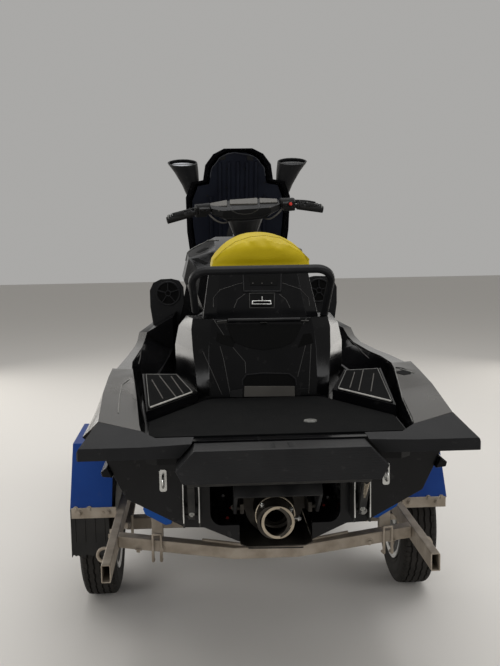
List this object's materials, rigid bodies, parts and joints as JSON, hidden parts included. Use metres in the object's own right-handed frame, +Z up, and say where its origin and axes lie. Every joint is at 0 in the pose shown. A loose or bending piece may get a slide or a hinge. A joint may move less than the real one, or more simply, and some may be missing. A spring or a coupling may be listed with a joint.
{
  "type": "personal watercraft on trailer",
  "caption": "Three-seat personal watercraft with a folding boarding step, steerable jet nozzle and open front hood, resting on a galvanised single-axle boat trailer",
  "frame": {"origin": "on the ground, under the middle of the overall bounding box", "axes": "+X to starboard, +Y forward to the bow and the tow coupling, +Z up"},
  "size_m": [1.422, 4.41, 1.9126],
  "materials": {
    "hull_black": "gloss",
    "metallic_grey": "metallic gloss",
    "bumper_grey": "matte",
    "deck_black": "satin gloss",
    "seat_black": "satin",
    "seat_yellow": "satin",
    "mat_grey": "matte",
    "navy_liner": "satin",
    "mirror_face": "polished",
    "stainless": "brushed",
    "step_steel": "satin black",
    "pump_alloy": "cast",
    "bracket_black": "satin",
    "engine_iron": "cast",
    "galvanised": "dull galvanised",
    "bunk_blue": "carpet",
    "fender_blue": "gloss paint",
    "tyre_rubber": "matte",
    "rim_silver": "satin silver",
    "flap_rubber": "matte",
    "roller_rubber": "matte",
    "grip_rubber": "matte"
  },
  "bodies": {
    "craft_on_trailer": {"hull": "hull_black", "engine": "engine_iron", "gunwales": "deck_black", "side_panels": "metallic_grey", "platform": "deck_black", "corner_bumpers": "bumper_grey", "centre_bumper": "bumper_grey", "tail_cowl": "deck_black", "tail_crown": "deck_black", "grab_handle": "bumper_grey", "pedestal": "deck_black", "rear_seat": "seat_yellow", "front_seat": "seat_black", "console": "deck_black", "speaker_pods": "bumper_grey", "gauge_pod": "bumper_grey", "bow_deck": "deck_black", "deck_mats": "mat_grey", "pump_housing": "pump_alloy", "ride_plate": "pump_alloy", "intake_grate": "pump_alloy", "sponsons": "deck_black", "transom_eyes": "stainless", "step_brackets": "step_steel", "side_rails": "galvanised", "drawbar_legs": "galvanised", "drawbar": "galvanised", "coupling": "galvanised", "rear_crossbar": "galvanised", "crossbars": "galvanised", "cradle": "galvanised", "bunks": "bunk_blue", "bunk_posts": "galvanised", "axle": "galvanised", "leaf_springs": "galvanised", "fenders": "fender_blue", "fender_straps": "galvanised", "mud_flap": "flap_rubber", "keel_roller": "roller_rubber", "winch_post": "galvanised", "bow_stop": "roller_rubber", "jockey_tube": "galvanised"},
    "steering": {"steering_neck": "bracket_black", "bar_pad": "bumper_grey", "handlebar": "grip_rubber"},
    "jet_nozzle": {"nozzle": "pump_alloy"},
    "jet_bucket": {"reverse_bucket": "bracket_black"},
    "front_hood": {"hood": "deck_black", "hood_liner": "navy_liner", "mirrors": "bumper_grey", "mirror_glass": "mirror_face"},
    "rear_step": {"boarding_step": "step_steel"},
    "wheel_port": {"tyre_port": "tyre_rubber", "rim_port": "rim_silver"},
    "wheel_starboard": {"tyre_starboard": "tyre_rubber", "rim_starboard": "rim_silver"},
    "castor": {"jockey_fork": "galvanised"},
    "castor_wheel": {"jockey_wheel": "roller_rubber"}
  },
  "joints": [
    {"name": "steering_turn", "type": "hinge", "parent": "craft_on_trailer", "child": "steering", "pos_m": [0.024, -0.255, 1.57], "axis": [0, -0.454, 0.891], "range_deg": [-29, 15]},
    {"name": "nozzle_turn", "type": "hinge", "parent": "craft_on_trailer", "child": "jet_nozzle", "pos_m": [0.024, -1.883, 0.533], "axis": [0, 0, 1], "range_deg": [-15, 29]},
    {"name": "bucket_swing", "type": "hinge", "parent": "craft_on_trailer", "child": "jet_bucket", "pos_m": [0.024, -1.913, 0.56], "axis": [1, 0, 0], "range_deg": [0, 70]},
    {"name": "hood_lift", "type": "hinge", "parent": "craft_on_trailer", "child": "front_hood", "pos_m": [0.024, 0.855, 1.068], "axis": [1, 0, 0], "range_deg": [0, 50]},
    {"name": "step_fold", "type": "hinge", "parent": "craft_on_trailer", "child": "rear_step", "pos_m": [0.024, -1.96, 0.555], "axis": [1, 0, 0], "range_deg": [0, 140]},
    {"name": "wheel_port_spin", "type": "hinge", "parent": "craft_on_trailer", "child": "wheel_port", "pos_m": [-0.625, -1.165, 0.28], "axis": [1, 0, 0], "continuous": true},
    {"name": "wheel_starboard_spin", "type": "hinge", "parent": "craft_on_trailer", "child": "wheel_starboard", "pos_m": [0.625, -1.165, 0.28], "axis": [1, 0, 0], "continuous": true},
    {"name": "castor_swivel", "type": "hinge", "parent": "craft_on_trailer", "child": "castor", "pos_m": [-0.078, 1.805, 0.3], "axis": [0, 0, 1], "continuous": true},
    {"name": "castor_wheel_spin", "type": "hinge", "parent": "castor", "child": "castor_wheel", "pos_m": [-0.078, 1.77, 0.1], "axis": [1, 0, 0], "continuous": true}
  ],
  "couplings": [
    {"joint": "nozzle_turn", "follows": "steering_turn", "ratio": -1}
  ]
}
